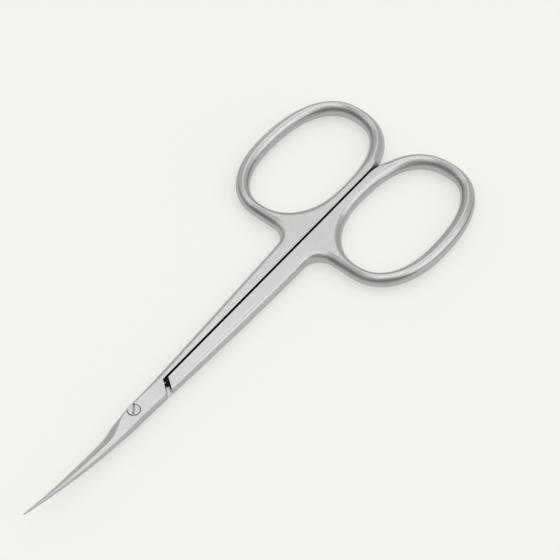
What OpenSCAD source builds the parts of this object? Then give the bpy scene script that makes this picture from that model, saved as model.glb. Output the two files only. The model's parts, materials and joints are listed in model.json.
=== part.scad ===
// Cuticle scissors, lying closed: two forged steel halves that turn on one slotted screw.
// X runs from the blade tips to the finger bows and Z is up. The table is at Z = 0.
// The origin is on the table, under the middle of the closed scissors.
// The upper half has its bow on the +Y side, and the lower half has its bow on the -Y side.

/* [Lengths] */
// Pivot to the blade tips
blade_l = 22.9; // [19:0.1:28]
// Pivot to the far end of the bows
handle_l = 67.1; // [62:0.1:85]

/* [Bows] */
// Outside length of a bow
bow_l = 27.8; // [24:0.1:32]
// Outside width of a bow, from the middle of the scissors
bow_w = 18.55; // [16.5:0.05:23]
// Thickness of the forging at the far end of the bows
bow_t = 3.15; // [2.6:0.05:3.8]
// Width of the band at the far end
band_far = 2.25; // [1.9:0.05:3.2]
// Width of the band along the outside
band_side = 2.55; // [1.9:0.05:3.4]
// Width of the band at the front, towards the blades
band_front = 2.15; // [1.8:0.05:3]
// Width of the band beside the gap
band_gap = 1.9; // [1.5:0.05:2.6]
// Where the outside of a bow is widest, from its front
widest_x = 13.3; // [11.5:0.1:16]
// Width of the band where it parts from the gap
band_part = 2.6; // [2.2:0.05:3.2]
// How much nearer the front the inside of a bow is widest
inner_back = 0.5; // [0:0.1:2]
// Middle of the scissors to the middle of a bow
middle_y = 9.4; // [8:0.1:11.5]
// Fullness of the bow's far corners, where 2 is an ellipse
full_far = 2.35; // [2:0.05:2.8]
// Fullness of the bow's front corners
full_front = 2.35; // [2:0.05:2.8]
// How much fuller the inside is beside the gap at the far corners
inner_far = 0.15; // [0:0.05:0.3]
// How much less full the inside is beside the gap at the front corners
inner_front = 0.2; // [0:0.05:0.3]
// Profile of the band, where 2 is an oval and less has flatter flanks
band_profile = 1.6; // [1.4:0.05:2]
// Radius between the front of a bow and the shank
fillet_r = 2.85; // [2:0.05:4]

/* [Shanks] */
// Width of the upper shank at the bow's fillet
shank_upper = 2.7; // [2.3:0.05:3.8]
// Width of the lower shank at the bow's fillet
shank_lower = 2.85; // [2.3:0.05:3.8]
// Rounding along the outer edge of a shank
shank_round = 0.85; // [0.3:0.05:1]
// Screw to where that rounding is full
round_l = 7; // [4:0.5:20]
// Rounding along the outer edge of the joint
joint_round = 0.45; // [0.2:0.05:0.5]
// How late the upper shank swells towards its bow, where 1 is a straight taper
swell_upper = 1.12; // [1:0.02:1.5]
// How early the lower shank swells towards its bow, where 1 is a straight taper
swell_lower = 1.6; // [1:0.05:2]
// Gap between the two shanks
shank_gap = 0.2; // [0.12:0.02:0.4]
// Ease on the edges beside the gap
edge_ease = 0.12; // [0.05:0.01:0.25]

/* [Joint] */
// Thickness of the closed joint at the screw
joint_t = 2.1; // [1.8:0.05:2.8]
// Screw to the joint's edge on the side of the upper bow
joint_upper = 1.15; // [1.1:0.01:1.7]
// Screw's line to the same edge where the blade begins
joint_waist = 1; // [0.8:0.02:1.5]
// Screw to the joint's edge on the side of the lower bow
joint_lower = 1.8; // [1.4:0.05:2.3]
// Screw to the end of the joint's lap, on the middle line
lap_end = 6.6; // [5.5:0.1:7]
// Screw to the shoulder that faces the lap, on the middle line
shoulder_x = 7.6; // [7.4:0.1:9]
// Slant of the lap's end and of the shoulder
lap_slant = 35; // [20:1:45]
// Radius at the outer corner of the lap
lap_corner = 0.55; // [0.55:0.05:0.9]
// Clearance between the two mating faces
face_clear = 0.04; // [0.02:0.01:0.08]

/* [Blades] */
// Screw to where the blades begin
blade_start = 2.8; // [2.4:0.1:3.6]
// Length of the sweep from the joint into the blade
ogee_l = 4; // [3:0.1:6]
// Screw to where the ground bevel begins
bevel_start = 1.2; // [1.1:0.1:3]
// Width of the closed blades on the upper side of the middle line, after the sweep
blade_upper = 0.58; // [0.4:0.02:0.9]
// Belly of the lower blade's edge, where 1 is a straight taper
belly = 1.25; // [1:0.05:1.5]
// Width of the blades at the tip
tip_w = 0.16; // [0.1:0.02:0.4]
// Thickness of one blade at the tip
tip_t = 0.26; // [0.2:0.01:0.5]
// Share of the blade's width that its back takes
back_share = 0.14; // [0.1:0.01:0.4]
// Share of the blade's width that stays flat between the two
ridge_share = 0.26; // [0.05:0.01:0.3]
// Radius of the blades' upward curve
curve_r = 70; // [45:1:200]
// Screw to where the curve begins
curve_start = 4.5; // [4:0.1:8]

/* [Screw] */
// Radius of the screw's head
head_r = 0.95; // [0.8:0.05:1]
// Thickness of the screw's head
head_t = 0.56; // [0.4:0.02:0.7]
// How far the head stands proud of the joint
head_proud = 0.1; // [0:0.02:0.2]
// Gap between the head and its counterbore
head_clear = 0.09; // [0.03:0.01:0.09]
// Ease on the edge of the head, and twice how far the threaded end stays within the joint
head_ease = 0.08; // [0.04:0.01:0.14]
// Radius of the screw's smooth shank
pin_r = 0.7; // [0.5:0.05:0.75]
// Radius of the screw's threaded end
thread_r = 0.6; // [0.4:0.05:0.65]
// Running clearance round the smooth shank and under the head
run_clear = 0.03; // [0.01:0.01:0.05]
// Width of the slot
slot_w = 0.32; // [0.2:0.02:0.45]
// Depth of the slot
slot_d = 0.24; // [0.1:0.02:0.35]
// Direction of the slot from the middle line
slot_turn = 38.5; // [0:0.5:90]

/* [Hidden] */

steel = [0.80, 0.80, 0.79];
screw_steel = [0.74, 0.74, 0.73];

// Degrees between the steps round a finger hole, and where they pass the front of the bow,
// the band leaving the gap, and the band as a full oval again
bow_step = 5;
front_step = 180 / bow_step;
ease_step = 285 / bow_step;
part_step = 305 / bow_step;
last_step = 360 / bow_step;
// Degrees past the front of the bow over which the band widens beside the gap
widen_turn = 45;
// Steps from the mating face up to the top, and along each stretch of the outline
edge_steps = 5;
blade_steps = 18;
lap_steps = 4;
gap_steps = 5;
fillet_steps = 8;
shank_steps = 6;
// Faces round the screw and its holes
turn_faces = 96;
// Profile of a rounding: a quarter round, or a nearly flat slope
quarter = 2;
slope = 1.3;
// How far back from the lap's end the width of the joint is taken
lap_back = 2;
// A length that passes right through the scissors, and one too small to matter
far = 60;
tiny = 0.000001;

bow_front = handle_l - bow_l;
gap_y = shank_gap / 2;
web_x = bow_front - fillet_r;
pivot_x = (blade_l - handle_l) / 2;
pivot_z = bow_t / 2;
mate = face_clear / 2;
bore_r = pin_r + run_clear;
counter_r = head_r + head_clear;

function mix(a, b, t) = a + (b - a) * t;
function clamp01(t) = min(1, max(0, t));
function smooth(t) = let (c = clamp01(t)) c * c * (3 - 2 * c);
function root(v, p) = sign(v) * pow(abs(v), p);
function flat(v) = [v.x, v.y];
function unit(v) = v / max(norm(v), tiny);

// Share of a blade's length at x, and of the sweep from the joint into the blade
function along_blade(x) = (-blade_start - x) / (blade_l - blade_start);
function into_blade(x) = smooth((-blade_start - x) / ogee_l);

// Half thickness of the forging: one plane over the joint, shanks and bows, then thinning to the tip
function handle_half_t(x) = mix(joint_t, bow_t, x / handle_l) / 2;
function half_t(x) =
    x > -blade_start ? handle_half_t(x) : mix(handle_half_t(-blade_start), tip_t, along_blade(x));

// Rise of the mating faces at a distance from the screw. It depends on the distance alone,
// so the two curved blades slide on each other at every opening.
function rise(r) = r > curve_start ? pow(r - curve_start, 2) / (2 * curve_r) : 0;

// Outer edge of the closed scissors from the middle line, on the upper (1) or lower (-1) side. The
// upper side sweeps in to a slim straight blade, and the lower side is one long belly.
function upper_edge(x) =
    x > 0 ? mix(joint_upper, shank_upper + gap_y, pow(clamp01(x / web_x), swell_upper))
    : x > -blade_start ? mix(joint_upper, joint_waist, -x / blade_start)
    : mix(joint_waist, mix(blade_upper, tip_w / 2, along_blade(x)), into_blade(x));
function lower_edge(x) =
    x > 0 ? mix(joint_lower, shank_lower + gap_y, 1 - pow(1 - clamp01(x / web_x), swell_lower))
    : x > -blade_start ? joint_lower
    : mix(joint_lower, tip_w / 2, pow(along_blade(x), belly));
function edge(side, x) = side > 0 ? upper_edge(x) : lower_edge(x);

// Rounding of a blade's two long edges, the narrow back and the wide ground bevel, which flattens
function blade_w(x) = edge(1, x) + edge(-1, x);
function back_round(x) = mix(joint_round, back_share * blade_w(x), into_blade(x));
function into_bevel(x) = smooth((-bevel_start - x) / ogee_l);
function bevel_round(x) = mix(joint_round, (1 - back_share - ridge_share) * blade_w(x), into_bevel(x));
function bevel_shape(x) = mix(quarter, slope, into_blade(x));

// The finger hole is four quarter ovals about the middle of the bow, far or front, outer or inner.
// t is the angle round it from the far end. hole_normal points into the band.
function hole_quarter(t) =
    let (up = sin(t) >= 0, ahead = cos(t) < 0, cx = bow_front + widest_x - (up ? 0 : inner_back))
    [
        cx,
        ahead ? cx - bow_front - band_front : handle_l - band_far - cx,
        up ? bow_w - band_side - middle_y : middle_y - gap_y - band_gap,
        ahead ? full_front - (up ? 0 : inner_front) : full_far + (up ? 0 : inner_far)
    ];
function hole_point(t) =
    let (q = hole_quarter(t))
    [q[0] + q[1] * root(cos(t), 2 / q[3]), middle_y + q[2] * root(sin(t), 2 / q[3])];
function hole_normal(t) =
    let (q = hole_quarter(t))
    unit([root(cos(t), 2 - 2 / q[3]) / q[1], root(sin(t), 2 - 2 / q[3]) / q[2]]);
part_t = part_step * bow_step;
// Width of the band: it is widest where it parts from the gap, and never crosses the gap
function band_width(t) =
    t <= 90 ? mix(band_far, band_side, smooth(t / 90))
    : t <= 180 ? mix(band_side, band_front, smooth(t / 90 - 1))
    : min(t <= part_t ? mix(band_front, band_part, smooth((t - 180) / widen_turn))
                      : mix(band_part, band_far, smooth((t - part_t) / (360 - part_t))),
          (hole_point(t).y - gap_y) / max(tiny, -hole_normal(t).y));
function crest_point(t) = hole_point(t) + hole_normal(t) * band_width(t) / 2;
function outer_point(t) = hole_point(t) + hole_normal(t) * band_width(t);

// The outline of a half, bow at +Y, walked with the steel on its left.
// Each point is [x, y, rounding, profile of the rounding, direction into the steel if it is set].
function blade_station(i) = -mix(blade_l, blade_start, i / blade_steps);
function far_blade(side) = [for (i = [0:blade_steps]) let (x = blade_station(i))
    [x, -edge(-side, x), back_round(x), quarter]];
function near_blade(side) = [for (i = [blade_steps:-1:0]) let (x = blade_station(i))
    [x, edge(side, x), bevel_round(x), bevel_shape(x)]];
// The lap's end is a slanted line through the middle line at lap_end
function lap_line(y) = lap_end + y * tan(lap_slant);
function lap_outline(side) =
    let (
        edge_y = -edge(-side, lap_end - lap_back),
        corner_x = lap_line(edge_y),
        turn = 90 - lap_slant,
        reach = lap_corner * tan(turn / 2),
        centre = [corner_x - reach, edge_y + lap_corner]
    )
    concat(
        [for (x = [-blade_start / 2, 0]) [x, -edge(-side, x), joint_round, quarter]],
        [for (k = [0:lap_steps]) let (u = k / lap_steps, a = -90 + turn * u)
            [centre.x + lap_corner * cos(a), centre.y + lap_corner * sin(a),
             mix(joint_round, edge_ease, u), quarter]],
        [for (y = [-gap_y, gap_y]) [lap_line(y), y, edge_ease / 2, quarter]]
    );
// The shoulder is a slanted line too. A rounding there is drawn in along it, so that it stays flat.
function shoulder_line(y) = shoulder_x - y * tan(lap_slant);
function shoulder_point(y, rounding, into) =
    [shoulder_line(y), y, rounding, quarter, into * [-tan(lap_slant), 1]];
function gap_outline() = concat(
    [shoulder_point(gap_y, edge_ease, 1)],
    [for (k = [1:gap_steps - 1])
        [mix(shoulder_x, outer_point(ease_step * bow_step).x, k / gap_steps), gap_y, edge_ease, quarter]],
    [for (h = [ease_step:part_step - 1])
        let (t = h * bow_step, p = outer_point(t), u = (h - ease_step) / (part_step - ease_step))
        [p.x, p.y, mix(edge_ease, band_width(t) / 2, smooth(u)), mix(quarter, band_profile, smooth(u))]]
);
// Round the outside of the bow the band is a full oval, so its rounding reaches its crest
function band_outline() = [for (h = [part_step:last_step + front_step])
    let (t = (h % last_step) * bow_step, p = outer_point(t))
    [p.x, p.y, band_width(t) / 2, band_profile, -hole_normal(t)]];
function shank_rounding(x) = mix(joint_round, shank_round, smooth(x / round_l));
function web_outline(side) =
    let (
        foot = edge(side, web_x) + fillet_r,
        shoulder_y = edge(side, shoulder_line(edge(side, shoulder_x)))
    )
    concat(
        [[bow_front, (middle_y + foot) / 2, band_front / 2, band_profile]],
        [for (k = [0:fillet_steps]) let (u = k / fillet_steps)
            [web_x + fillet_r * cos(90 * u), foot - fillet_r * sin(90 * u),
             mix(band_front / 2, shank_round, u), mix(band_profile, quarter, u)]],
        [for (k = [shank_steps - 1:-1:1]) let (x = mix(shoulder_x, web_x, k / shank_steps))
            [x, edge(side, x), shank_rounding(x), quarter]],
        [shoulder_point(shoulder_y, shank_rounding(shoulder_x), -1)]
    );
function joint_outline(side) = concat(
    [for (x = [shoulder_x / 2, 0]) [x, edge(side, x), shank_rounding(x), quarter]],
    [for (x = [-bevel_start, -(bevel_start + blade_start) / 2])
        [x, edge(side, x), bevel_round(x), bevel_shape(x)]]
);

// Triangles that fill a flat ring of points, given by their places in a list: one after another,
// a corner is cut off that turns left and holds no other point. The search goes on from the last cut.
function left_turn(a, b, c) = (b.x - a.x) * (c.y - a.y) - (b.y - a.y) * (c.x - a.x);
function holds(a, b, c, p) = min(left_turn(a, b, p), left_turn(b, c, p), left_turn(c, a, p)) > -tiny;
function corner(ring, k) = let (n = len(ring)) [ring[(k + n - 1) % n], ring[k], ring[(k + 1) % n]];
function is_ear(points, ring, k) =
    let (c = corner(ring, k), a = points[c[0]], b = points[c[1]], d = points[c[2]])
    left_turn(a, b, d) > tiny
    && len([for (q = ring) if (len(search(q, c)) == 0 && holds(a, b, d, points[q])) q]) == 0;
function next_ear(points, ring, k) =
    k >= len(ring) || is_ear(points, ring, k) ? k % len(ring) : next_ear(points, ring, k + 1);
function cut_off(ring, k) =
    let (n = len(ring))
    concat([for (i = [2:n - 1]) ring[(k + i) % n]], [ring[(k + 1) % n]]);
function filled(points, ring, done = []) =
    len(ring) < 4 ? concat(done, [ring]) :
    let (k = next_ear(points, ring, 0))
    filled(points, cut_off(ring, k), concat(done, [corner(ring, k)]));

// How far a rounding reaches out at a share s of its height: a quarter of a superellipse
function reach_out(s, profile) = pow(max(0, 1 - pow(abs(s), profile)), 1 / profile);

// Direction into the steel at each point of a closed outline
function inward(o, i) =
    let (
        n = len(o),
        before = unit(flat(o[i]) - flat(o[(i + n - 1) % n])),
        after = unit(flat(o[(i + 1) % n]) - flat(o[i])),
        t = unit(before + after)
    )
    len(o[i]) > 4 ? o[i][4] : [-t.y, t.x];

// One forging, bow at +Y and mating face down, as one closed skin. A stack of points stands at each
// point of the outline, from the mating face (0) up to the top (edge_steps) and, past the shoulder,
// down to the bottom (-edge_steps). Another stack stands at each step round the finger hole.
module forging(side) {
    before_gap = concat(far_blade(side), lap_outline(side));
    before_band = concat(before_gap, gap_outline());
    before_web = concat(before_band, band_outline());
    before_joint = concat(before_web, web_outline(side));
    o = concat(before_joint, joint_outline(side), near_blade(side));
    n = len(o);
    gap_start = len(before_gap);
    band_start = len(before_band);
    band_end = len(before_web) - 1;
    web_end = len(before_joint) - 1;
    levels = 2 * edge_steps + 1;

    function outer_stack(i, j) =
        let (
            s = sin(90 * j / edge_steps),
            draw_in = o[i][2] * (1 - reach_out(s, o[i][3])),
            p = flat(o[i]) + draw_in * inward(o, i),
            low = i < gap_start || i > web_end,
            z = j == 0 || (j < 0 && low) ? mate : s * half_t(p.x)
        )
        [p.x, p.y, z + side * (p.x < 0 ? rise(norm(p)) : 0)];
    function hole_stack(h, j) =
        let (
            t = h * bow_step,
            s = sin(90 * j / edge_steps),
            p = crest_point(t) - hole_normal(t) * band_width(t) / 2 * reach_out(s, band_profile)
        )
        [p.x, p.y, s * half_t(p.x)];

    points = concat(
        [for (i = [0:n - 1]) for (j = [-edge_steps:edge_steps]) outer_stack(i, j)],
        [for (h = [0:last_step - 1]) for (j = [-edge_steps:edge_steps]) hole_stack(h, j)]
    );
    // Places in the list of points. The crest of the band belongs to the hole's stacks.
    function hole_at(h, j) = (n + (h + last_step) % last_step) * levels + j + edge_steps;
    function at(i, j) =
        i >= band_start && i <= band_end && abs(j) == edge_steps
            ? hole_at(part_step + i - band_start, j)
            : (i % n) * levels + j + edge_steps;
    function halves(q) = [[q[0], q[1], q[2]], [q[0], q[2], q[3]]];

    crest = [for (h = [part_step - 1:-1:front_step + 1]) h];
    sides = concat(
        [for (i = [0:n - 1]) for (j = [0:edge_steps - 1])
            [at(i, j), at(i, j + 1), at(i + 1, j + 1), at(i + 1, j)]],
        [for (i = [gap_start:web_end - 1]) for (j = [-edge_steps:-1])
            [at(i, j), at(i, j + 1), at(i + 1, j + 1), at(i + 1, j)]],
        [for (j = [0:-1:1 - edge_steps])
            [at(gap_start, j), at(gap_start, j - 1), at(web_end, j - 1), at(web_end, j)]],
        [for (h = [0:last_step - 1]) for (j = [-edge_steps:edge_steps - 1])
            [hole_at(h + 1, j), hole_at(h + 1, j + 1), hole_at(h, j + 1), hole_at(h, j)]],
        [for (j = [0, edge_steps]) for (i = [0:blade_steps - 1])
            let (q = [at(i, j), at(i + 1, j), at(n - 2 - i, j), at(n - 1 - i, j)])
            j == 0 ? q : [q[3], q[2], q[1], q[0]]]
    );
    mating_face = concat([for (i = [blade_steps:gap_start]) at(i, 0)],
                         [for (i = [web_end:n - 1 - blade_steps]) at(i, 0)]);
    bottom = concat([for (i = [gap_start:band_start]) at(i, -edge_steps)],
                    [for (h = crest) hole_at(h, -edge_steps)],
                    [for (i = [band_end:web_end]) at(i, -edge_steps)]);
    top = concat([for (i = [blade_steps:band_start]) at(i, edge_steps)],
                 [for (h = crest) hole_at(h, edge_steps)],
                 [for (i = [band_end:n - 1 - blade_steps]) at(i, edge_steps)]);
    function turned(faces) = [for (f = faces) [f[2], f[1], f[0]]];
    triangles = concat(
        [for (q = sides) for (f = halves(q)) f],
        filled(points, mating_face),
        filled(points, bottom),
        turned(filled(points, top))
    );
    polyhedron(points, triangles);
}

module at_pivot() {
    translate([pivot_x, 0, pivot_z])
        children();
}

module bore(r, low, high) {
    translate([0, 0, low])
        cylinder(r = r, h = high - low, $fn = turn_faces);
}

head_top = joint_t / 2 + head_proud;
head_seat = head_top - head_t;

// Upper half: bow, shank and blade in one piece, with the screw's clearance hole and counterbore
module upper_half() {
    color(steel)
        at_pivot()
            difference() {
                forging(1);
                bore(bore_r, -far, far);
                bore(counter_r, head_seat - run_clear, far);
            }
}

// Lower half: the same forging turned over, with the tapped hole
module lower_half() {
    color(steel)
        at_pivot()
            difference() {
                rotate([180, 0, 0])
                    forging(-1);
                bore(thread_r, -far, far);
            }
}

// Pivot screw: slotted cheese head, smooth shank through the upper half, threaded end in the lower
module pivot_screw() {
    end = (head_ease - joint_t) / 2;
    color(screw_steel)
        at_pivot()
            difference() {
                rotate_extrude($fn = turn_faces)
                    polygon([[0, end], [thread_r, end], [thread_r, -mate], [pin_r, -mate], [pin_r, head_seat],
                             [head_r, head_seat], [head_r, head_top - head_ease],
                             [head_r - head_ease, head_top], [0, head_top]]);
                rotate([0, 0, slot_turn])
                    translate([-far / 2, -slot_w / 2, head_top - slot_d])
                        cube([far, slot_w, far]);
            }
}

upper_half();
lower_half();
pivot_screw();
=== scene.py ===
import json
import math

import bmesh
import bpy
import numpy as np
from mathutils import Matrix, Vector


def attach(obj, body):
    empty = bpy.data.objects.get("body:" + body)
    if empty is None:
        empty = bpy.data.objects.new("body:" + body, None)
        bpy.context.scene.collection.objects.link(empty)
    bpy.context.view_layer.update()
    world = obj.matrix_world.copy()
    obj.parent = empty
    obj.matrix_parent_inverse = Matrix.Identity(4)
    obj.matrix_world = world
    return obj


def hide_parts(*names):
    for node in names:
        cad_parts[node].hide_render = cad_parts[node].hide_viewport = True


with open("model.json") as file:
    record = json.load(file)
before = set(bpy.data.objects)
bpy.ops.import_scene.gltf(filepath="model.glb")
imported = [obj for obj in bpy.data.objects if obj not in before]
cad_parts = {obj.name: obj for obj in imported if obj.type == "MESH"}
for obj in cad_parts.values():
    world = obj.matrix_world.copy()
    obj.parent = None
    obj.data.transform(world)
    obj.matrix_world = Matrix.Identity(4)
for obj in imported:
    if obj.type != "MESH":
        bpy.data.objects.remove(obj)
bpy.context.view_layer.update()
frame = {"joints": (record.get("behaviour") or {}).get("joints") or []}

# The camera is a long lens above the blades' side of the scissors, which lie on a plain pale table.
# The picture's middle falls on the shanks, at the height of the faces that rub on each other.
MM = 0.001
IMAGE_W = 560
FOCAL_PX = 1800
PX_PER_MM = 6.51
SENSOR_MM = 36
NEAREST = 0.01
AIM_PAST_PIVOT_MM, AIM_ASIDE_MM = 32.03, -1.565
camera_turn = math.radians(51.449)
camera_tilt = math.radians(35.678)
camera_roll = math.radians(0.215)

pivot = np.array(frame["joints"][0]["pos_m"]) / MM
aim = Vector((pivot[0] + AIM_PAST_PIVOT_MM, AIM_ASIDE_MM, pivot[2])) * MM
look = Vector((
    math.sin(camera_turn) * math.sin(camera_tilt),
    math.cos(camera_turn) * math.sin(camera_tilt),
    -math.cos(camera_tilt),
))
right = Vector((math.cos(camera_turn), -math.sin(camera_turn), 0))
up = right.cross(look)
camera_data = bpy.data.cameras.new("camera")
camera_data.sensor_width = SENSOR_MM
camera_data.lens = FOCAL_PX * SENSOR_MM / IMAGE_W
camera_data.clip_start = NEAREST
camera = bpy.data.objects.new("camera", camera_data)
bpy.context.scene.collection.objects.link(camera)
turned = Matrix((right, up, -look)).transposed() @ Matrix.Rotation(camera_roll, 3, "Z")
camera.matrix_world = Matrix.Translation(aim - look * (FOCAL_PX / PX_PER_MM * MM)) @ turned.to_4x4()
bpy.context.scene.camera = camera
bpy.context.scene.view_settings.view_transform = "Standard"

# The table is matt pale laminate, and it is the picture's background. More than half of what the camera
# and the steel see of it is its own plain colour, which keeps the shadow round the scissors soft.
TABLE_SIDE = 4.0
PLAIN_SHARE = 0.6


def linear(hex_colour):
    """A colour written as sRGB hex, turned to linear with alpha 1."""
    parts = [int(hex_colour[i:i + 2], 16) / 255 for i in (1, 3, 5)]
    return [c / 12.92 if c <= 0.04045 else ((c + 0.055) / 1.055) ** 2.4 for c in parts] + [1]


def add_node(tree, kind, settings=None, **links):
    """A node of a kind, with its plain settings, and its values and links by socket name, or by socket
    number after an underscore. Another node given as a link stands for its first output."""
    made = tree.nodes.new(kind)
    for name, value in (settings or {}).items():
        setattr(made, name, value)
    for name, value in links.items():
        socket = made.inputs[int(name[1:])] if name[0] == "_" else made.inputs[name.replace("_", " ")]
        if isinstance(value, bpy.types.Node):
            value = value.outputs[0]
        if isinstance(value, bpy.types.NodeSocket):
            tree.links.new(value, socket)
        else:
            socket.default_value = value
    return made


laminate_colour = linear("#F1F0EC")
matt_laminate = bpy.data.materials.new("matt_laminate")
matt_laminate.use_nodes = True
tree = matt_laminate.node_tree
laminate = tree.nodes["Principled BSDF"]
laminate.inputs["Base Color"].default_value = laminate_colour
laminate.inputs["Roughness"].default_value = 0.9
laminate.inputs["Specular IOR Level"].default_value = 0.0
plain = add_node(tree, "ShaderNodeEmission", Color=laminate_colour, Strength=1.0)
rays = add_node(tree, "ShaderNodeLightPath").outputs
seen = rays["Is Camera Ray"]
for other in (rays["Is Glossy Ray"], rays["Is Transmission Ray"]):
    seen = add_node(tree, "ShaderNodeMath", {"operation": "MAXIMUM"}, _0=seen, _1=other)
share = add_node(tree, "ShaderNodeMath", {"operation": "MULTIPLY"}, _0=seen, _1=PLAIN_SHARE)
surface = add_node(tree, "ShaderNodeMixShader", _0=share, _1=laminate, _2=plain)
tree.links.new(surface.outputs[0], tree.nodes["Material Output"].inputs["Surface"])

half_side = TABLE_SIDE / 2
corners = [(x * half_side, y * half_side, 0) for x, y in ((-1, -1), (1, -1), (1, 1), (-1, 1))]
table_mesh = bpy.data.meshes.new("table")
table_mesh.from_pydata(corners, [], [(0, 1, 2, 3)])
table_mesh.materials.append(matt_laminate)
table = bpy.data.objects.new("table", table_mesh)
bpy.context.scene.collection.objects.link(table)

# The studio light is a pale tent that dims towards the camera and the left, with six soft boxes in it.
# They stand off from the scissors at an azimuth, 0 over the far side of the picture and 90 over its right.
TENT_LEVEL = 0.34
TENT_UP, TENT_RIGHT, TENT_FAR = 0.4, 0.2, 0.15
BOX_DISTANCE = 1.2

away = Vector((math.sin(camera_turn), math.cos(camera_turn), 0))
world = bpy.data.worlds.new("light_tent")
world.use_nodes = True
bpy.context.scene.world = world
tree = world.node_tree
direction = add_node(tree, "ShaderNodeTexCoord").outputs["Generated"]
brighter = Vector((0, 0, TENT_UP)) + right * TENT_RIGHT + away * TENT_FAR
along = add_node(tree, "ShaderNodeVectorMath", {"operation": "DOT_PRODUCT"}, _0=direction, _1=brighter)
level = add_node(tree, "ShaderNodeMath", {"operation": "ADD"}, _0=along.outputs["Value"], _1=TENT_LEVEL)
tree.nodes["Background"].inputs["Color"].default_value = linear("#FFFEFD")
tree.links.new(level.outputs[0], tree.nodes["Background"].inputs["Strength"])


def soft_box(name, azimuth, elevation, width, height, radiance):
    """A soft box that faces the scissors, with its angles in degrees and its sizes in metres."""
    azimuth, elevation = math.radians(azimuth), math.radians(elevation)
    level_part = away * math.cos(azimuth) + right * math.sin(azimuth)
    towards = level_part * math.cos(elevation) + Vector((0, 0, math.sin(elevation)))
    lamp = bpy.data.lights.new(name, "AREA")
    lamp.shape = "RECTANGLE"
    lamp.size, lamp.size_y = width, height
    lamp.energy = radiance * math.pi * width * height
    box = bpy.data.objects.new(name, lamp)
    box.location = towards * BOX_DISTANCE
    box.rotation_euler = towards.to_track_quat("Z", "Y").to_euler()
    bpy.context.scene.collection.objects.link(box)


soft_box("far_soft_box", azimuth=5, elevation=65, width=1.3, height=0.65, radiance=0.9)
soft_box("right_soft_box", azimuth=103, elevation=27, width=0.95, height=1.0, radiance=1.05)
soft_box("overhead_soft_box", azimuth=160, elevation=67, width=1.1, height=0.9, radiance=0.95)
soft_box("left_soft_box", azimuth=-82, elevation=36, width=0.9, height=0.8, radiance=0.85)
soft_box("near_soft_box", azimuth=-150, elevation=42, width=0.9, height=0.4, radiance=0.6)
soft_box("low_far_soft_box", azimuth=-35, elevation=14, width=1.1, height=0.5, radiance=0.35)

# The two halves are forged from stainless bar, ground on the joint and blades, and satin finished all
# over with a fine belt. The same skin serves both: it is worked out in the frame of the pivot, bow at
# +Y and mating face down, and the lower half is that skin turned over. Its sizes are in millimetres.

# Pivot to the blade tips and to the far end of the bows, and the length, width and thickness of a bow
blade_l, handle_l = 22.9, 67.1
bow_l, bow_w, bow_t = 27.8, 18.55, 3.15
# Width of the band at the far end, outside, front and beside the gap, and where it parts from the gap
band_far, band_side, band_front, band_gap, band_part = 2.25, 2.55, 2.15, 1.9, 2.6
# Where the outer side of the hole is widest, how much nearer the front its inner side is, and its middle
widest_x, inner_back, middle_y = 13.3, 0.5, 9.4
# Fullness of the hole's corners, where 2 is an ellipse, and what it gains beside the gap
full_far, full_front = 2.35, 2.35
inner_far, inner_front = 0.15, -0.2
# Profile of the band's section, the fillet before the bow, and degrees over which the band widens
band_profile = 1.6
fillet_r = 2.85
widen_turn = 45
# Width of each shank at the fillet, how it swells towards its bow, and the gap between the two
shank_width = {1: 2.7, -1: 2.85}
swell_upper, swell_lower = 1.12, 1.6
shank_gap = 0.2
# Roundings along the edges, and where the one along a shank is full
shank_round, joint_round, edge_ease, round_l = 0.85, 0.45, 0.12, 7.0
# Thickness of the closed joint, its edges from the middle line, and the clearance of the mating faces
joint_t, joint_upper, joint_waist, joint_lower = 2.1, 1.15, 1.0, 1.8
face_clear = 0.04
# The lap's end and the shoulder that faces it, with their slant, then the radius of the lap's corner and
# how far before its end the lap's side is measured for it
lap_end, shoulder_x, lap_slant = 6.6, 7.6, math.radians(35)
lap_corner, lap_back = 0.55, 2.0
# The blades: where they begin, their sweep, widths, tip, upward curve and ground faces
blade_start, ogee_l, blade_upper, belly, tip_w, tip_t = 2.8, 4.0, 0.58, 1.25, 0.16, 0.26
curve_r, curve_start = 70, 4.5
bevel_start, back_share, ridge_share = 1.2, 0.14, 0.26
# Profiles of a rounding: a quarter round, or a nearly flat slope
quarter, slope = 2.0, 1.3
# Degrees round the hole at which the band leaves the gap and is a full oval, and at the bow's front
ease_t, part_t, front_t = 285, 305, 540

bow_front = handle_l - bow_l
gap_y = shank_gap / 2
web_x = bow_front - fillet_r
mate = face_clear / 2


def mix(a, b, t):
    """The share t of the way from a to b."""
    return a + (b - a) * t


def smooth(t):
    """A ramp from 0 to 1 with level ends: three times the square less twice the cube."""
    t = np.clip(t, 0, 1)
    return t * t * (3 - 2 * t)


def root(v, p):
    """A signed power: the size of v to the power of p, with the sign of v."""
    return np.sign(v) * np.abs(v) ** p


def half_t(x):
    """Half the thickness of the forging: a straight taper along the handle, then thinning to the tip."""
    handle = mix(joint_t, bow_t, x / handle_l) / 2
    at_start = mix(joint_t, bow_t, -blade_start / handle_l) / 2
    along = (-blade_start - x) / (blade_l - blade_start)
    return np.where(x > -blade_start, handle, mix(at_start, tip_t, along))


def rise(x, y):
    """Upward curve of the blades: a parabola in the distance from the pivot, on the blade side alone."""
    beyond = np.maximum(np.hypot(x, y) - curve_start, 0)
    return np.where(x < 0, beyond ** 2 / (2 * curve_r), 0)


def into_blade(x):
    """Share of the sweep from the joint into the blade at x."""
    return smooth((-blade_start - x) / ogee_l)


def into_bevel(x):
    """Share of the sweep from the joint's rounding into the ground bevel at x."""
    return smooth((-bevel_start - x) / ogee_l)


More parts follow.
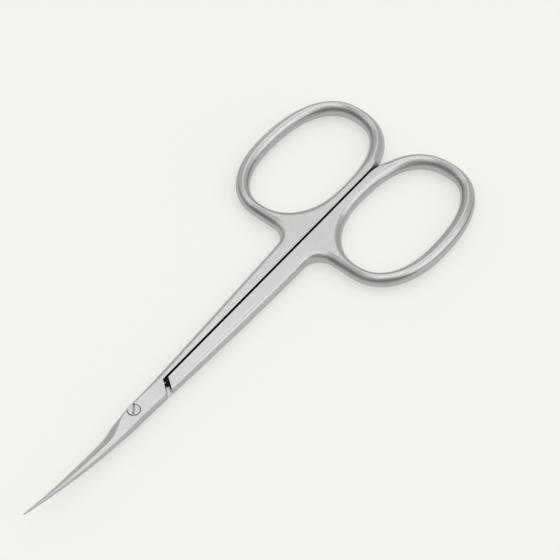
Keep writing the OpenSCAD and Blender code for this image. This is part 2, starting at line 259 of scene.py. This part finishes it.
def edge(side, x):
    """Distance of the closed scissors' outer edge from the middle line. The upper side (1) sweeps in to
    a slim straight blade, and the lower side (-1) is one long belly: a power of the way to the tip."""
    along = (-blade_start - x) / (blade_l - blade_start)
    t = np.clip(x / web_x, 0, 1)
    shank = shank_width[side] + gap_y
    if side > 0:
        handle = mix(joint_upper, shank, t ** swell_upper)
        joint = mix(joint_upper, joint_waist, -x / blade_start)
        blade = mix(joint_waist, mix(blade_upper, tip_w / 2, along), into_blade(x))
    else:
        handle = mix(joint_lower, shank, 1 - (1 - t) ** swell_lower)
        joint = np.full_like(x, joint_lower)
        blade = mix(joint_lower, tip_w / 2, np.clip(along, 0, 1) ** belly)
    return np.where(x > 0, handle, np.where(x > -blade_start, joint, blade))


def hole_quarter(t):
    """Middle, half length, half width and fullness of the quarter oval that holds each angle t."""
    upper, ahead = np.sin(t) > -1e-9, np.cos(t) < 0
    cx = bow_front + widest_x - np.where(upper, 0, inner_back)
    length = np.where(ahead, cx - bow_front - band_front, handle_l - band_far - cx)
    width = np.where(upper, bow_w - band_side - middle_y, middle_y - gap_y - band_gap)
    beside_gap = np.where(upper, 0, np.where(ahead, inner_front, inner_far))
    return cx, length, width, np.where(ahead, full_front, full_far) + beside_gap


def hole_point(t):
    """A quarter oval: the cosine and sine to the power of two over the fullness."""
    cx, length, width, full = hole_quarter(t)
    x = cx + length * root(np.cos(t), 2 / full)
    y = middle_y + width * root(np.sin(t), 2 / full)
    return np.stack([x, y], -1)


def hole_normal(t):
    """Direction from the hole into the band, square to the oval: the cosine and sine to the power of two
    less two over the fullness, over the half length and half width, brought to length 1."""
    _, length, width, full = hole_quarter(t)
    n = np.stack([root(np.cos(t), 2 - 2 / full) / length, root(np.sin(t), 2 - 2 / full) / width], -1)
    return n / np.linalg.norm(n, axis=-1, keepdims=True)


def band_width(t):
    """Width of the band by the angle from the far end: smooth ramps from one named width to the next,
    and beside the gap no more than reaches it."""
    d = np.degrees(t) % 360
    part = np.where(d <= part_t, mix(band_front, band_part, smooth((d - 180) / widen_turn)),
                    mix(band_part, band_far, smooth((d - part_t) / (360 - part_t))))
    room = (hole_point(t)[..., 1] - gap_y) / np.maximum(0.01, -hole_normal(t)[..., 1])
    outer = np.where(d <= 90, mix(band_far, band_side, smooth(d / 90)),
                     mix(band_side, band_front, smooth(d / 90 - 1)))
    return np.where(d <= 180, outer, np.minimum(part, room))


def crest_point(t):
    """The band's crest, half its width out from the hole."""
    return hole_point(t) + hole_normal(t) * band_width(t)[:, None] / 2


def outer_point(t):
    """The band's outer edge, its whole width out from the hole."""
    return hole_point(t) + hole_normal(t) * band_width(t)[:, None]


def steps(a, b, n):
    """n even steps from a towards b, without b."""
    return np.linspace(a, b, n, endpoint=False)


def left_of(points):
    """Direction square to an open chain of points, on its left: the way it runs at each point, brought
    to length 1 and turned a quarter turn."""
    d = np.gradient(points, axis=0)
    d /= np.maximum(np.linalg.norm(d, axis=1, keepdims=True), 1e-9)
    return np.stack([-d[:, 1], d[:, 0]], -1)


def chain_part(x, y, rounding, profile=quarter):
    """One stretch of an edge as rows of x, y, rounding and profile of the rounding."""
    columns = [np.broadcast_to(np.asarray(c, float), np.shape(x)) for c in (x, y, rounding, profile)]
    return np.stack(columns, -1)


def near_edge(side, x):
    """The near edge at x: rounded along the shank and joint, with a wide and nearly flat bevel along the
    blade, which takes what the back and the ridge leave of its width."""
    width = edge(1, x) + edge(-1, x)
    rounding = mix(joint_round, shank_round, smooth(x / round_l))
    bevel = mix(rounding, (1 - back_share - ridge_share) * width, into_bevel(x))
    return chain_part(x, edge(side, x), bevel, mix(quarter, slope, into_blade(x)))


# Stations along each stretch of the two long edges
BLADE_STEPS, JOINT_STEPS, CORNER_STEPS, END_STEPS, FOOT_STEPS = 90, 44, 18, 14, 6
SHANK_STEPS, FILLET_STEPS, WEB_STEPS, CREST_STEPS = 90, 30, 10, 90
# Length of the stretch with close stations before the shoulder, and how far to each side of it the near
# and far edges lean into its slant
FOOT_L = 0.5
NEAR_LEAN_L, FAR_LEAN_L = 3, 0.8
# Places along the gap that face the ends of the shank, the fillet and the web
gap_marks = (web_x - 0.6, bow_front + 0.3, bow_front + 0.9)
# Rounds of the search for where the shoulder meets the near edge, which settles well within them
SEARCH_ROUNDS = 8


def long_edges(side):
    """The two long edges of a half, from the blade tip to where its bow parts from the gap. Station by
    station they face each other, so that the flat faces between them are plain grids. The near edge is
    the one on the bow's side. The far one runs round the end of the lap and then along the gap."""
    # The blade
    x = -mix(blade_l, blade_start, steps(0, 1, BLADE_STEPS))
    width = edge(1, x) + edge(-1, x)
    near = [near_edge(side, x)]
    far = [chain_part(x, -edge(-side, x), mix(joint_round, back_share * width, into_blade(x)))]

    # The joint, as far as the lap's corner
    lap_side = -edge(-side, np.array([lap_end - lap_back]))[0]
    turn = math.pi / 2 - lap_slant
    corner = np.array([lap_end + lap_side * math.tan(lap_slant) - lap_corner * math.tan(turn / 2),
                       lap_side + lap_corner])
    x = steps(-blade_start, corner[0], JOINT_STEPS)
    near.append(near_edge(side, x))
    far.append(chain_part(x, -edge(-side, x), joint_round))

    # Round the lap's corner and up its slanted end
    u = steps(0, 1, CORNER_STEPS)
    a = -math.pi / 2 + turn * u
    far.append(chain_part(corner[0] + lap_corner * np.cos(a), corner[1] + lap_corner * np.sin(a),
                          mix(joint_round, edge_ease, u)))
    y = steps(corner[1] - lap_corner * math.cos(turn), gap_y, END_STEPS)
    far.append(chain_part(lap_end + y * math.tan(lap_slant), y,
                          mix(edge_ease, edge_ease / 2, steps(0, 1, END_STEPS))))
    shoulder_near = np.array([shoulder_x])
    for _ in range(SEARCH_ROUNDS):
        shoulder_near = shoulder_x - edge(side, shoulder_near) * math.tan(lap_slant)
    near.append(near_edge(side, steps(corner[0], shoulder_near[0] - FOOT_L, CORNER_STEPS + END_STEPS)))

    # The foot of the shoulder
    shoulder_far = shoulder_x - gap_y * math.tan(lap_slant)
    near.append(near_edge(side, steps(shoulder_near[0] - FOOT_L, shoulder_near[0], FOOT_STEPS)))
    far.append(chain_part(steps(lap_end + gap_y * math.tan(lap_slant), shoulder_far, FOOT_STEPS), gap_y,
                          mix(edge_ease / 2, edge_ease, steps(0, 1, FOOT_STEPS))))
    shoulder = sum(len(part) for part in near)

    # The shank
    near.append(near_edge(side, steps(shoulder_near[0], web_x, SHANK_STEPS)))
    far.append(chain_part(steps(shoulder_far, gap_marks[0], SHANK_STEPS), gap_y, edge_ease))

    # The fillet, then the web up to the front of the hole
    foot = edge(side, np.array([web_x]))[0] + fillet_r
    u = steps(0, 1, FILLET_STEPS)
    a = -math.pi / 2 * (1 - u)
    near.append(chain_part(web_x + fillet_r * np.cos(a), foot + fillet_r * np.sin(a),
                           mix(shank_round, band_front / 2, u), mix(quarter, band_profile, u)))
    far.append(chain_part(mix(gap_marks[0], gap_marks[1], u), gap_y, edge_ease))
    u = steps(0, 1, WEB_STEPS)
    near.append(chain_part(np.full(WEB_STEPS, bow_front), mix(foot, middle_y, u), band_front / 2,
                           band_profile))
    far.append(chain_part(mix(gap_marks[1], gap_marks[2], u), gap_y, edge_ease))
    near.append(chain_part([bow_front], [middle_y], band_front / 2, band_profile))

    # Along the gap beside the hole, whose crest takes the near edge's place, until the band leaves it
    beside = np.radians(steps(180, ease_t, CREST_STEPS))
    leaving = np.radians(np.linspace(ease_t, part_t, part_t - ease_t + 1))
    crest_t = np.concatenate([beside, leaving])
    shift = mix(gap_marks[2] - crest_point(beside[:1])[0, 0],
                (outer_point(leaving[:1]) - crest_point(leaving[:1]))[0, 0],
                smooth(np.linspace(0, 1, CREST_STEPS)))
    far.append(chain_part(crest_point(beside)[:, 0] + shift, gap_y, edge_ease))
    u = smooth(np.linspace(0, 1, len(leaving)))
    parting = outer_point(leaving)
    far.append(chain_part(parting[:, 0], parting[:, 1], mix(edge_ease, band_width(leaving) / 2, u),
                          mix(quarter, band_profile, u)))

    near, far = np.concatenate(near), np.concatenate(far)
    into_near, into_far = -left_of(near[:, :2]), left_of(far[:, :2])
    along_shoulder = np.array([-math.tan(lap_slant), 1])
    near_lean = smooth(1 - np.abs(near[:, :1] - near[shoulder, 0]) / NEAR_LEAN_L)
    far_lean = smooth(1 - np.abs(far[:, :1] - far[shoulder, 0]) / FAR_LEAN_L)
    into_near = mix(into_near, -along_shoulder, near_lean)
    into_far = mix(into_far, along_shoulder, far_lean)
    into_near[-1] = (1, 0)
    into_far[-1] = -hole_normal(leaving)[-1]
    return near, into_near, far, into_far, crest_t, shoulder


# Levels from the mating face up to the top, with as many below it, and steps across a flat face
LEVELS = 10
ACROSS = 16


def reach_out(s, profile):
    """How far a rounding reaches out at a share s of its height: a quarter of a superellipse."""
    return np.maximum(0, 1 - np.abs(s) ** profile) ** (1 / profile)


def stack(chain, into, side):
    """Points of a rounded edge at every station, from the flat bottom up to the flat top. The sine of
    the level gives the height, and the edge is drawn in by its rounding as a quarter superellipse."""
    s = np.sin(math.pi / 2 * np.arange(-LEVELS, LEVELS + 1) / LEVELS)[None]
    rounding, profile = chain[:, 2:3], chain[:, 3:4]
    drawn_in = rounding * (1 - reach_out(s, profile))
    p = chain[:, None, :2] + drawn_in[..., None] * into[:, None]
    z = s * half_t(p[..., 0])
    z[:, LEVELS] = mate
    return np.dstack([p, z + side * rise(p[..., 0], p[..., 1])])


def band_stack(t, outwards):
    """Points of the bow's oval section at angles t, on its outside (1) or inside (-1): the crest moved
    out or in by half the band's width times the reach at each level, whose sine gives the height."""
    s = np.sin(math.pi / 2 * np.arange(-LEVELS, LEVELS + 1) / LEVELS)
    half_band = hole_normal(t) * band_width(t)[:, None] / 2
    p = crest_point(t)[:, None] + outwards * half_band[:, None] * reach_out(s, band_profile)[:, None]
    z = s * half_t(p[..., 0])
    z[:, LEVELS] = mate if outwards > 0 else 0
    return np.dstack([p, z])


def between(a, b):
    """A grid of straight rungs from each point of a chain to the one that faces it."""
    v = np.linspace(0, 1, ACROSS + 1)[None, :, None]
    return a[:, None] * (1 - v) + b[:, None] * v


def half_skin(side):
    """Every grid of points that makes the closed skin of one half, in the pivot's frame: the two long
    walls, the band outside and inside, and straight rungs across each flat face."""
    near, into_near, far, into_far, crest_t, shoulder = long_edges(side)
    near_wall = stack(near, into_near, side)
    far_wall = stack(far, into_far, side)
    ring_t = np.radians(np.linspace(part_t, front_t, front_t - part_t + 1))
    outside, inside = band_stack(ring_t, 1), band_stack(np.concatenate([crest_t, ring_t[1:]]), -1)
    far_wall[-1], near_wall[-1] = outside[0], outside[-1]

    crest = inside[1:len(crest_t)]
    near_top = np.concatenate([near_wall[:, -1], crest[:, -1]])
    near_low = np.concatenate([near_wall[:, 0], crest[:, 0]])
    top = between(far_wall[:, -1], near_top)
    bottom = between(far_wall[shoulder:, 0], near_low[shoulder:])
    mating = between(far_wall[:shoulder + 1, LEVELS], near_wall[:shoulder + 1, LEVELS])
    mating[..., 2] = mate + side * rise(mating[..., 0], mating[..., 1])
    face = between(far_wall[shoulder, :LEVELS + 1], near_wall[shoulder, :LEVELS + 1])
    tip = between(far_wall[0, LEVELS:], near_wall[0, LEVELS:])
    return [
        near_wall[:, LEVELS:], near_wall[shoulder:, :LEVELS + 1],
        far_wall[:, LEVELS:], far_wall[shoulder:, :LEVELS + 1],
        outside, inside, top, bottom, mating, face, tip,
    ]


def placed(points, side):
    """From the pivot's frame in millimetres to the scene's in metres. The lower half is turned over."""
    return (points * (1, side, side) + pivot) * MM


# Points of two grids that lie closer than this, in metres, are one point
SAME_POINT = 1e-7


def joined(name, grids):
    """A mesh of quads over grids of points, with shared edges merged and faces turned outwards."""
    points, faces, start = [], [], 0
    for grid in grids:
        rows, columns = grid.shape[:2]
        index = start + np.arange(rows * columns).reshape(rows, columns)
        quads = np.stack([index[:-1, :-1], index[1:, :-1], index[1:, 1:], index[:-1, 1:]], -1)
        points.append(grid.reshape(-1, 3))
        faces.append(quads.reshape(-1, 4))
        start += rows * columns
    mesh = bpy.data.meshes.new(name)
    mesh.from_pydata(np.concatenate(points), [], np.concatenate(faces).tolist())
    work = bmesh.new()
    work.from_mesh(mesh)
    bmesh.ops.remove_doubles(work, verts=work.verts, dist=SAME_POINT)
    bmesh.ops.dissolve_degenerate(work, edges=work.edges, dist=SAME_POINT / 10)
    bmesh.ops.recalc_face_normals(work, faces=work.faces)
    work.to_mesh(mesh)
    work.free()
    return mesh


TURN_STEPS = 160


def turned_part(name, profile):
    """A profile of radius and height turned once round the pivot's axis: the radius times the cosine
    and sine of each step's angle."""
    a = np.linspace(0, 2 * math.pi, TURN_STEPS + 1)[:, None]
    r, z = np.array(profile, float).T
    grid = np.stack([np.cos(a) * r, np.sin(a) * r, np.broadcast_to(z, (len(a), len(z)))], -1)
    return bpy.data.objects.new(name, joined(name, [placed(grid, 1)]))


def cut(mesh, cutter):
    """The mesh with a closed cutter taken out of it, and the cutter cleared away."""
    work = bpy.data.objects.new(mesh.name, mesh)
    for part in (work, cutter):
        bpy.context.scene.collection.objects.link(part)
    modifier = work.modifiers.new(cutter.name, "BOOLEAN")
    modifier.operation = "DIFFERENCE"
    modifier.solver = "EXACT"
    modifier.object = cutter
    done = bpy.data.meshes.new_from_object(work.evaluated_get(bpy.context.evaluated_depsgraph_get()))
    for part in (work, cutter):
        bpy.data.objects.remove(part)
    return done


# An edge whose faces turn by more than this stays sharp
CREASE = math.radians(32)


def finished(name, mesh, material, body, node):
    """The piece for a mesh: smooth but for its creases, with its material, on its body and in place of
    its node."""
    mesh.name = name
    mesh.shade_smooth()
    mesh.set_sharp_from_angle(angle=CREASE)
    mesh.materials.clear()
    mesh.materials.append(material)
    piece = bpy.data.objects.new(name, mesh)
    bpy.context.scene.collection.objects.link(piece)
    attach(piece, body)
    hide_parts(node)


# The screw's sizes in millimetres, which its hole and counterbore in the upper half and its tapped hole in
# the lower half take too
head_r, head_t, head_proud, head_clear = 0.95, 0.56, 0.1, 0.09
pin_r, thread_r, run_clear = 0.7, 0.6, 0.03
head_top = joint_t / 2 + head_proud
head_seat = head_top - head_t
bore_r, counter_r = pin_r + run_clear, head_r + head_clear
# Half the height of the cutters for the holes, well past the thickness of the joint
PAST_T = 3

# Satin stainless steel, ground on a fine belt along each half: streaks drawn out along X give the broken
# sheen of a belt finish, and a slow unevenness in the roughness shows where the belt bore harder. The
# real streaks are 0.02 mm wide and are drawn 3 times coarser. Shade is painted nearly black into the gap,
# the foot of the shoulder, under the lap's end, the corner between them and round the screw's seat, and a
# seam of the forging shows on the bows.
STREAK_MM = 0.06
STREAK_LENGTH = 30
STREAK_TURN = math.radians(8)
PATCH_MM = 6
RELIEF_MM, RELIEF_SHARE = 0.01, 0.25
# Usual levels of the patches' noise, the roughness at each of them, and what the streaks add to it
PATCH_LOW, PATCH_HIGH = 0.3, 0.7
ROUGH_LOW, ROUGH_HIGH, ROUGH_STREAK = 0.25, 0.32, 0.08
# Where the painted shade starts and where it is full, in millimetres: before the shoulder and past its
# face, out along its foot and the same on the slimmer upper half
FOOT_FADE, FACE_FADE = (-0.3, -0.1), (0.05, 0.03)
FOOT_END, UPPER_FOOT_END = (1.9, 1.1), (1.15, 0.8)
# The same at the lap's end: under its edge, away from it, out along it and up it
LAP_EDGE, LAP_FADE, LAP_OUT, LAP_UP = (-0.02, 0), (0.22, 0.06), (2.1, 0.6), (0.4, 0.2)
# The same round the corner between the two, round the screw's seat, up to the ground top and in the gap
corner_x = (lap_end + shoulder_x) / 2 - 0.1
CORNER_FADE, TOP_FADE = (1.15, 0.85), (1.03, 0.9)
seat_fade = (counter_r + 0.03, counter_r + 0.01)
gap_fade = (gap_y + 0.09, gap_y + 0.03)
# The seam: its half width, its height on the upper half, how far it wanders, where it starts and is full
# along the bow and out from the middle line, and how dark and how raised it is
SEAM_HALF, SEAM_Z, SEAM_WANDER = 0.16, 0.85, 0.3
SEAM_X, SEAM_ASIDE = (38, 44), (11, 14)
SEAM_DARKNESS, SEAM_RIDGE = 0.6, 1.5


def where_all(tree, *fades):
    """A mask that is full where all of the fades are: the product of smooth ramps, each from 0 where its
    value is at its start to 1 where it is at its end, whichever of the two is greater."""
    mask, *others = [add_node(tree, "ShaderNodeMapRange", {"interpolation_type": "SMOOTHSTEP"},
                              Value=value, From_Min=start, From_Max=end) for value, (start, end) in fades]
    for other in others:
        mask = add_node(tree, "ShaderNodeMath", {"operation": "MULTIPLY"}, _0=mask, _1=other)
    return mask


def distance(tree, x, y):
    """The root of x squared plus y squared."""
    squares = [add_node(tree, "ShaderNodeMath", {"operation": "POWER"}, _0=way, _1=2.0) for way in (x, y)]
    total = add_node(tree, "ShaderNodeMath", {"operation": "ADD"}, _0=squares[0], _1=squares[1])
    return add_node(tree, "ShaderNodeMath", {"operation": "SQRT"}, _0=total)


def layered(tree, colour, *layers):
    """A colour with others laid over it in turn, each by its share."""
    under = linear(colour)
    for share, over in layers:
        mixed = add_node(tree, "ShaderNodeMix", {"data_type": "RGBA"}, _0=share, _6=under, _7=linear(over))
        under = mixed.outputs[2]
    return under


satin_steel = bpy.data.materials.new("satin_stainless_steel")
satin_steel.use_nodes = True
tree = satin_steel.node_tree
shader = tree.nodes["Principled BSDF"]
shader.inputs["Metallic"].default_value = 1
place = add_node(tree, "ShaderNodeTexCoord").outputs["Object"]
fine = 1 / (STREAK_MM * MM)
drawn_out = add_node(tree, "ShaderNodeMapping", Vector=place, Rotation=(0, 0, STREAK_TURN),
                     Scale=(fine / STREAK_LENGTH, fine, fine)).outputs[0]
streaks = add_node(tree, "ShaderNodeTexNoise", Vector=drawn_out, Scale=1, Detail=3,
                   Roughness=0.6).outputs["Fac"]
patches = add_node(tree, "ShaderNodeTexNoise", Vector=place, Scale=1 / (PATCH_MM * MM), Detail=2,
                   Roughness=0.5).outputs["Fac"]
from_pivot = add_node(tree, "ShaderNodeMapping", Vector=place, Location=tuple(-pivot), Scale=(1 / MM,) * 3)
x, y, z = add_node(tree, "ShaderNodeSeparateXYZ", Vector=from_pivot.outputs[0]).outputs
aside, depth = [add_node(tree, "ShaderNodeMath", {"operation": "ABSOLUTE"}, _0=value) for value in (y, z)]

# How far a point lies past the shoulder's slanted face, past the slanted end of the lap and from the
# corner between the two
cos_slant, sin_slant = math.cos(lap_slant), math.sin(lap_slant)
past_shoulder = add_node(tree, "ShaderNodeMath", {"operation": "MULTIPLY_ADD"}, _0=aside, _1=sin_slant,
                         _2=-shoulder_x * cos_slant)
past_shoulder = add_node(tree, "ShaderNodeMath", {"operation": "MULTIPLY_ADD"}, _0=x, _1=cos_slant,
                         _2=past_shoulder)
past_lap = add_node(tree, "ShaderNodeMath", {"operation": "ADD"}, _0=past_shoulder,
                    _1=(shoulder_x - lap_end) * cos_slant)
past_corner = add_node(tree, "ShaderNodeMath", {"operation": "SUBTRACT"}, _0=x, _1=corner_x)
under_top = (depth, TOP_FADE)
at_foot = where_all(tree, under_top, (past_shoulder, FOOT_FADE), (past_shoulder, FACE_FADE),
                    (aside, FOOT_END), (y, UPPER_FOOT_END))
under_lap = where_all(tree, under_top, (past_lap, LAP_EDGE), (past_lap, LAP_FADE), (aside, LAP_OUT),
                      (depth, LAP_UP))
in_corner = where_all(tree, under_top, (distance(tree, past_corner, y), CORNER_FADE))
in_seat = where_all(tree, under_top, (distance(tree, x, y), seat_fade))
# Painted shade, nearly black: on the gap faces from the lap's end on, at the shoulder's foot, under the
# lap's end, in the corner between them and round the screw's seat
painted_shade = where_all(tree, (aside, gap_fade), (x, (lap_end, shoulder_x)))
for mask in (at_foot, under_lap, in_corner, in_seat):
    painted_shade = add_node(tree, "ShaderNodeMath", {"operation": "MAXIMUM"}, _0=painted_shade, _1=mask)

wandering = add_node(tree, "ShaderNodeMath", {"operation": "MULTIPLY_ADD"}, _0=patches, _1=SEAM_WANDER, _2=z)
wandering = add_node(tree, "ShaderNodeMath", {"operation": "ABSOLUTE"}, _0=wandering)
off_seam = add_node(tree, "ShaderNodeMath", {"operation": "SUBTRACT"}, _0=wandering,
                    _1=SEAM_WANDER / 2 + SEAM_Z)
off_seam = add_node(tree, "ShaderNodeMath", {"operation": "ABSOLUTE"}, _0=off_seam)
seam = where_all(tree, (off_seam, (SEAM_HALF, SEAM_HALF / 2)), (x, SEAM_X), (aside, SEAM_ASIDE))

seam_share = add_node(tree, "ShaderNodeMath", {"operation": "MULTIPLY"}, _0=seam, _1=SEAM_DARKNESS)
# The last layer lays that painted shade over the steel, nearly black
colour = layered(tree, "#ADADAE", (streaks, "#C4C4C5"), (seam_share, "#6E6E6E"), (painted_shade, "#1B1A1A"))
dull = add_node(tree, "ShaderNodeMapRange", Value=patches, From_Min=PATCH_LOW, From_Max=PATCH_HIGH,
                To_Min=ROUGH_LOW, To_Max=ROUGH_HIGH)
rough = add_node(tree, "ShaderNodeMath", {"operation": "MULTIPLY_ADD"}, _0=streaks, _1=ROUGH_STREAK, _2=dull)
height = add_node(tree, "ShaderNodeMath", {"operation": "MULTIPLY_ADD"}, _0=seam, _1=SEAM_RIDGE, _2=streaks)
relief = add_node(tree, "ShaderNodeBump", Height=height, Strength=RELIEF_SHARE, Distance=RELIEF_MM * MM)
tree.links.new(colour, shader.inputs["Base Color"])
tree.links.new(rough.outputs[0], shader.inputs["Roughness"])
tree.links.new(relief.outputs[0], shader.inputs["Normal"])

seat = head_seat - run_clear
upper = joined("upper_skin", [placed(grid, 1) for grid in half_skin(1)])
screw_hole = turned_part("screw_hole", [
    (0, -PAST_T), (bore_r, -PAST_T), (bore_r, seat), (counter_r, seat), (counter_r, PAST_T), (0, PAST_T),
])
finished("upper_half_forging", cut(upper, screw_hole), satin_steel, "upper", "upper_half")

# The lower half is the mating forging, turned over under the upper one, with its own shoulder against the
# other's lap. It is of the same steel and finish, and its hole is tapped for the screw.
lower = joined("lower_skin", [placed(grid, -1) for grid in half_skin(-1)])
tapped_hole = turned_part("tapped_hole", [
    (0, -PAST_T), (thread_r, -PAST_T), (thread_r, PAST_T), (0, PAST_T),
])
finished("lower_half_forging", cut(lower, tapped_hole), satin_steel, "lower", "lower_half")

# The pivot screw is turned from stainless bar, with a flat slotted head left satin by the lathe tool.
# Its smooth shank carries the upper half, and its thread holds in the lower one. Below the head's top,
# on the slot's floor and the head's side, shade is painted in a darker colour. Its rings are drawn
# coarser than the real 0.01 mm.
HEAD_EASE = 0.08
EASE_STEPS = 7
SLOT_W, SLOT_D, SLOT_TURN = 0.32, 0.24, math.radians(38.5)
RING_MM = 0.05
# Depths below the head's top, in millimetres, where the painted shade starts and where it is full
PAINTED_SHADE_FROM, PAINTED_SHADE_FULL = 0.09, 0.13
# A ring of the wave texture is this wide at scale 1
WAVE_RING = math.pi / 20

turned_steel = bpy.data.materials.new("turned_stainless_steel")
turned_steel.use_nodes = True
tree = turned_steel.node_tree
shader = tree.nodes["Principled BSDF"]
shader.inputs["Metallic"].default_value = 1
shader.inputs["Roughness"].default_value = 0.3
place = add_node(tree, "ShaderNodeTexCoord").outputs["Object"]
centred = add_node(tree, "ShaderNodeMapping", Vector=place, Location=tuple(-pivot * MM)).outputs[0]
rings = add_node(tree, "ShaderNodeTexWave", {"wave_type": "RINGS", "rings_direction": "Z"},
                 Vector=centred, Scale=WAVE_RING / (RING_MM * MM), Distortion=1.5, Detail=2).outputs["Fac"]
height = add_node(tree, "ShaderNodeSeparateXYZ", Vector=place).outputs["Z"]
top_z = pivot[2] + head_top
# Painted shade: below the head's top, on the slot's floor and the head's side, the colour is darker
below_top = where_all(tree, (height, ((top_z - PAINTED_SHADE_FROM) * MM, (top_z - PAINTED_SHADE_FULL) * MM)))
colour = layered(tree, "#AAAAAA", (rings, "#B5B5B5"), (below_top, "#858484"))
tree.links.new(colour, shader.inputs["Base Color"])

thread_end = (HEAD_EASE - joint_t) / 2
eased = [(head_r - HEAD_EASE * (1 - math.sin(a)), head_top - HEAD_EASE * (1 - math.cos(a)))
         for a in np.linspace(math.pi / 2, 0, EASE_STEPS)]
screw = turned_part("screw", [
    (0, thread_end), (thread_r, thread_end), (thread_r, -mate), (pin_r, -mate), (pin_r, head_seat),
    (head_r, head_seat), *eased, (0, head_top),
])
slot_cutter = bpy.data.objects.new("slot", bpy.data.meshes.new("slot"))
slot_l, slot_h = 4 * head_r, 1
slot_place = Vector(pivot * MM) + Vector((0, 0, (head_top - SLOT_D + slot_h / 2) * MM))
slot_shape = Matrix.Diagonal((slot_l * MM, SLOT_W * MM, slot_h * MM, 1))
work = bmesh.new()
bmesh.ops.create_cube(work, size=1)
slot_matrix = Matrix.Translation(slot_place) @ Matrix.Rotation(SLOT_TURN, 4, "Z") @ slot_shape
bmesh.ops.transform(work, matrix=slot_matrix, verts=work.verts)
work.to_mesh(slot_cutter.data)
work.free()
finished("pivot_screw_turned", cut(screw.data, slot_cutter), turned_steel, "lower",
         "pivot_screw")
